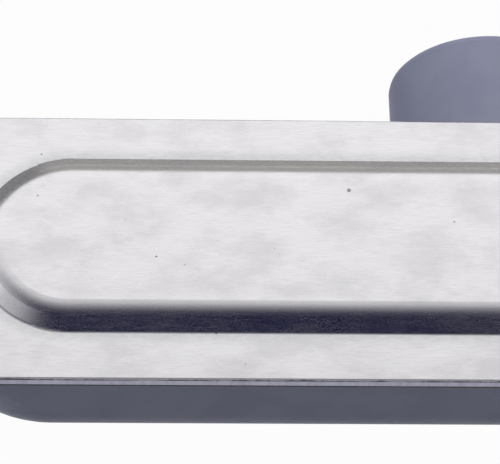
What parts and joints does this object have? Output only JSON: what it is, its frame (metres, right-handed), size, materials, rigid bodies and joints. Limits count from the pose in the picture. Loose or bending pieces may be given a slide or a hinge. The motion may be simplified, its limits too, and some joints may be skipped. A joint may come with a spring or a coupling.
{
  "type": "conduit body",
  "caption": "Right-angle cast conduit body with two threaded hubs, a gasket and a stamped screw-on cover, for pulling and turning wires.",
  "frame": {"origin": "on the flat strip along the back of the body, under the crossing of the two hub axes", "axes": "+X along the body away from the axial hub, +Y out of the side hub, +Z out through the cover"},
  "size_m": [0.1162, 0.0545, 0.0314],
  "materials": {
    "painted_casting": "satin grey powder coat on die-cast aluminium",
    "gasket_rubber": "matte black",
    "cover_sheet": "bare mill-finish sheet, faint grain along its length",
    "screw_steel": "zinc plated"
  },
  "bodies": {
    "casting": {"body": "painted_casting", "gasket": "gasket_rubber"},
    "lid": {"cover": "cover_sheet"},
    "left_screw": {"cover_screw_left": "screw_steel"},
    "right_screw": {"cover_screw_right": "screw_steel"}
  },
  "joints": [
    {"name": "cover_lift", "type": "slide", "parent": "casting", "child": "lid", "axis": [0, 0, 1], "range_m": [0, 0.04]},
    {"name": "left_screw_turn", "type": "hinge", "parent": "lid", "child": "left_screw", "pos_m": [-0.0744, 0, 0.0291], "axis": [0, 0, 1], "continuous": true},
    {"name": "right_screw_turn", "type": "hinge", "parent": "lid", "child": "right_screw", "pos_m": [0.0174, 0, 0.0291], "axis": [0, 0, 1], "continuous": true}
  ]
}
